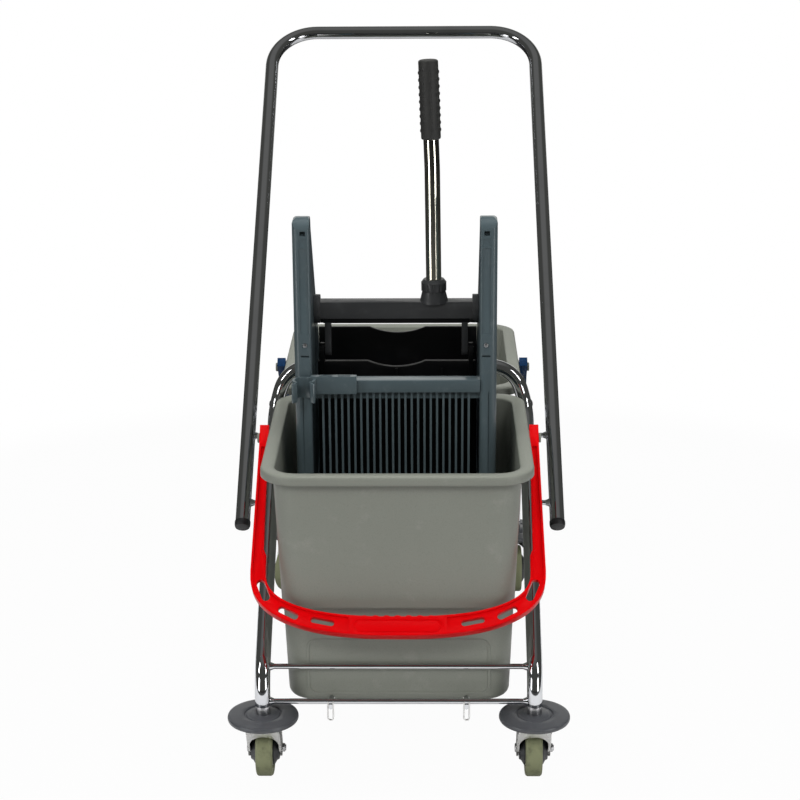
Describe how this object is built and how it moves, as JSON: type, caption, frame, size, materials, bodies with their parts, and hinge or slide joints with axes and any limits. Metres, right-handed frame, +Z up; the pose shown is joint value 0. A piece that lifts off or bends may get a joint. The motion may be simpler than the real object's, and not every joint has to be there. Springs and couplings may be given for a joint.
{
  "type": "mop bucket trolley",
  "caption": "Chrome tube mop trolley on swivel casters with a front and a rear grey bucket, a red and a navy bail, a lever press wringer and a tall push handle.",
  "frame": {"origin": "on the floor under the middle of the box", "axes": "+X right, +Y toward the push handle, +Z up"},
  "size_m": [0.4464, 0.9415, 0.9114],
  "materials": {
    "chrome_tube": "bright chrome plating",
    "zinc_sheet": "bright zinc plating",
    "steel_pin": "plain turned steel",
    "bumper_grey": "soft dark grey, satin",
    "tyre_olive": "olive grey, dull",
    "hub_dark": "dark, fine grain",
    "bucket_grey": "warm grey, fine grain",
    "bail_red": "bright red, satin gloss",
    "bail_navy": "navy blue, satin gloss",
    "wringer_grey": "blue grey, fine grain",
    "press_black": "near black, satin",
    "grip_rubber": "black, dull",
    "plug_black": "black, satin"
  },
  "bodies": {
    "frame": {"front_hoop": "chrome_tube", "rear_leg_left": "chrome_tube", "rear_leg_right": "chrome_tube", "front_upper_rod": "chrome_tube", "front_lower_rod": "chrome_tube", "rear_upper_rod": "chrome_tube", "rear_lower_rod": "chrome_tube", "support_rod_left": "chrome_tube", "support_rod_right": "chrome_tube", "wire_loop_left": "zinc_sheet", "wire_loop_right": "zinc_sheet", "push_handle": "chrome_tube", "handle_plug_left": "plug_black", "handle_plug_right": "plug_black", "stay_left_low": "chrome_tube", "stay_left_high": "chrome_tube", "stay_right_low": "chrome_tube", "stay_right_high": "chrome_tube", "stem_front_left": "steel_pin", "stem_front_right": "steel_pin", "stem_rear_left": "steel_pin", "stem_rear_right": "steel_pin", "disc_front_left": "bumper_grey", "disc_front_right": "bumper_grey", "disc_rear_left": "bumper_grey", "disc_rear_right": "bumper_grey"},
    "caster_front_left": {"fork_front_left": "zinc_sheet", "axle_front_left": "steel_pin"},
    "wheel_front_left": {"hub_front_left": "hub_dark", "tyre_front_left": "tyre_olive"},
    "caster_front_right": {"fork_front_right": "zinc_sheet", "axle_front_right": "steel_pin"},
    "wheel_front_right": {"hub_front_right": "hub_dark", "tyre_front_right": "tyre_olive"},
    "caster_rear_left": {"fork_rear_left": "zinc_sheet", "axle_rear_left": "steel_pin"},
    "wheel_rear_left": {"hub_rear_left": "hub_dark", "tyre_rear_left": "tyre_olive"},
    "caster_rear_right": {"fork_rear_right": "zinc_sheet", "axle_rear_right": "steel_pin"},
    "wheel_rear_right": {"hub_rear_right": "hub_dark", "tyre_rear_right": "tyre_olive"},
    "front_bucket": {"front_bucket": "bucket_grey"},
    "front_bail": {"front_bail": "bail_red"},
    "rear_bucket": {"rear_bucket": "bucket_grey"},
    "rear_bail": {"rear_bail": "bail_navy"},
    "wringer": {"wringer_body": "wringer_grey", "back_plate": "press_black", "mop_clip": "wringer_grey", "retainer_left": "steel_pin", "retainer_right": "steel_pin"},
    "lever": {"press_shaft": "press_black", "lever_tube": "chrome_tube", "lever_collar": "press_black", "lever_grip": "grip_rubber"},
    "press": {"press_plate": "press_black"}
  },
  "joints": [
    {"name": "swivel_front_left", "type": "hinge", "parent": "frame", "child": "caster_front_left", "pos_m": [-0.1755, -0.42475, 0.08], "axis": [0, 0, 1], "continuous": true},
    {"name": "roll_front_left", "type": "hinge", "parent": "caster_front_left", "child": "wheel_front_left", "pos_m": [-0.1755, -0.40275, 0.037], "axis": [1, 0, 0], "continuous": true},
    {"name": "swivel_front_right", "type": "hinge", "parent": "frame", "child": "caster_front_right", "pos_m": [0.1755, -0.42475, 0.08], "axis": [0, 0, 1], "continuous": true},
    {"name": "roll_front_right", "type": "hinge", "parent": "caster_front_right", "child": "wheel_front_right", "pos_m": [0.1755, -0.40275, 0.037], "axis": [1, 0, 0], "continuous": true},
    {"name": "swivel_rear_left", "type": "hinge", "parent": "frame", "child": "caster_rear_left", "pos_m": [-0.1755, 0.24025, 0.08], "axis": [0, 0, 1], "continuous": true},
    {"name": "roll_rear_left", "type": "hinge", "parent": "caster_rear_left", "child": "wheel_rear_left", "pos_m": [-0.18445, 0.22015, 0.037], "axis": [-0.9135, 0.4067, 0], "continuous": true},
    {"name": "swivel_rear_right", "type": "hinge", "parent": "frame", "child": "caster_rear_right", "pos_m": [0.1755, 0.24025, 0.08], "axis": [0, 0, 1], "continuous": true},
    {"name": "roll_rear_right", "type": "hinge", "parent": "caster_rear_right", "child": "wheel_rear_right", "pos_m": [0.1755, 0.21825, 0.037], "axis": [-1, 0, 0], "continuous": true},
    {"name": "front_bucket_lift", "type": "slide", "parent": "frame", "child": "front_bucket", "axis": [0, 0, 1], "range_m": [0, 0.3]},
    {"name": "rear_bucket_lift", "type": "slide", "parent": "frame", "child": "rear_bucket", "axis": [0, 0, 1], "range_m": [0, 0.3]},
    {"name": "front_bail_swing", "type": "hinge", "parent": "front_bucket", "child": "front_bail", "pos_m": [0, -0.25825, 0.417], "axis": [-1, 0, 0], "range_deg": [0, 85]},
    {"name": "rear_bail_swing", "type": "hinge", "parent": "rear_bucket", "child": "rear_bail", "pos_m": [0, 0.07375, 0.417], "axis": [1, 0, 0], "range_deg": [0, 130]},
    {"name": "wringer_lift", "type": "slide", "parent": "front_bucket", "child": "wringer", "axis": [0, 0, 1], "range_m": [0, 0.32]},
    {"name": "lever_turn", "type": "hinge", "parent": "wringer", "child": "lever", "pos_m": [0, -0.22725, 0.586], "axis": [1, 0, 0], "range_deg": [0, 65], "stiffness_Nm_per_rad": 1.5, "springref_deg": -8.59},
    {"name": "press_turn", "type": "hinge", "parent": "lever", "child": "press", "pos_m": [0, -0.22725, 0.53], "axis": [1, 0, 0], "range_deg": [-66, 1]}
  ],
  "couplings": [
    {"joint": "press_turn", "follows": "lever_turn", "ratio": -1}
  ]
}
